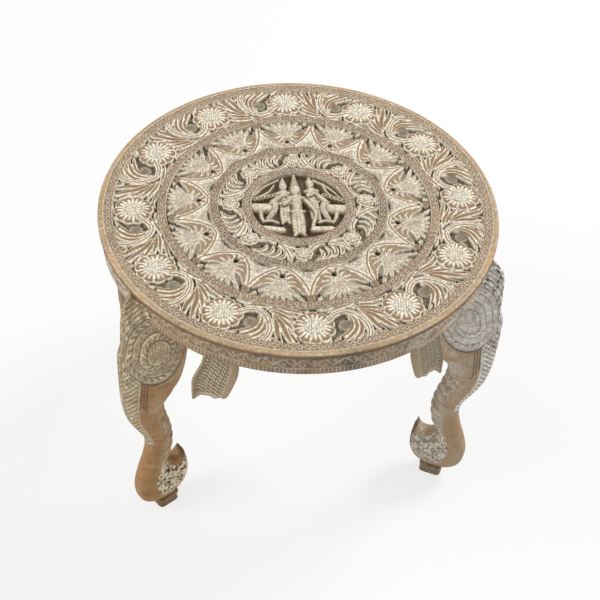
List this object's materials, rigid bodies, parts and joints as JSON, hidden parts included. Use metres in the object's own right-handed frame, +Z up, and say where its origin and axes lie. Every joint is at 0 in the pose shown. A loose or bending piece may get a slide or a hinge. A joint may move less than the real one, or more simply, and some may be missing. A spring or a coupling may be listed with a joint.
{
  "type": "low table",
  "caption": "Round carved wooden low table whose legs are elephant heads with curled trunks, ears flaring below a carved frieze ring.",
  "frame": {"origin": "bottom centre of the bounding box, on the surface that the table stands on", "axes": "+Z up; +Y towards the rear leg; the other two legs stand at the front left and the front right"},
  "size_m": [0.46, 0.4871, 0.4],
  "materials": {
    "carved_top": "limed carved hardwood, matt",
    "carved_frieze": "limed carved hardwood, matt",
    "carved_leg": "limed carving on the head, smooth rubbed trunk",
    "carved_ear": "limed carved hardwood, matt",
    "plain_block": "sawn and planed wood, bare",
    "dowel": "turned hardwood, bare",
    "wood_screw": "dull zinc"
  },
  "bodies": {
    "root": {"top_board": "carved_top", "frieze_segment_left": "carved_frieze", "frieze_segment_front": "carved_frieze", "frieze_segment_right": "carved_frieze", "rear_elephant_leg": "carved_leg", "rear_corner_block": "plain_block", "rear_frieze_joint_dowel": "dowel", "rear_block_to_board_screw": "wood_screw", "rear_block_to_head_screw": "wood_screw", "rear_elephant_left_ear": "carved_ear", "rear_elephant_left_ear_peg": "dowel", "rear_elephant_left_head_dowel": "dowel", "rear_elephant_right_ear": "carved_ear", "rear_elephant_right_ear_peg": "dowel", "rear_elephant_right_head_dowel": "dowel", "left_elephant_leg": "carved_leg", "left_corner_block": "plain_block", "left_frieze_joint_dowel": "dowel", "left_block_to_board_screw": "wood_screw", "left_block_to_head_screw": "wood_screw", "left_elephant_left_ear": "carved_ear", "left_elephant_left_ear_peg": "dowel", "left_elephant_left_head_dowel": "dowel", "left_elephant_right_ear": "carved_ear", "left_elephant_right_ear_peg": "dowel", "left_elephant_right_head_dowel": "dowel", "right_elephant_leg": "carved_leg", "right_corner_block": "plain_block", "right_frieze_joint_dowel": "dowel", "right_block_to_board_screw": "wood_screw", "right_block_to_head_screw": "wood_screw", "right_elephant_left_ear": "carved_ear", "right_elephant_left_ear_peg": "dowel", "right_elephant_left_head_dowel": "dowel", "right_elephant_right_ear": "carved_ear", "right_elephant_right_ear_peg": "dowel", "right_elephant_right_head_dowel": "dowel"}
  },
  "joints": []
}
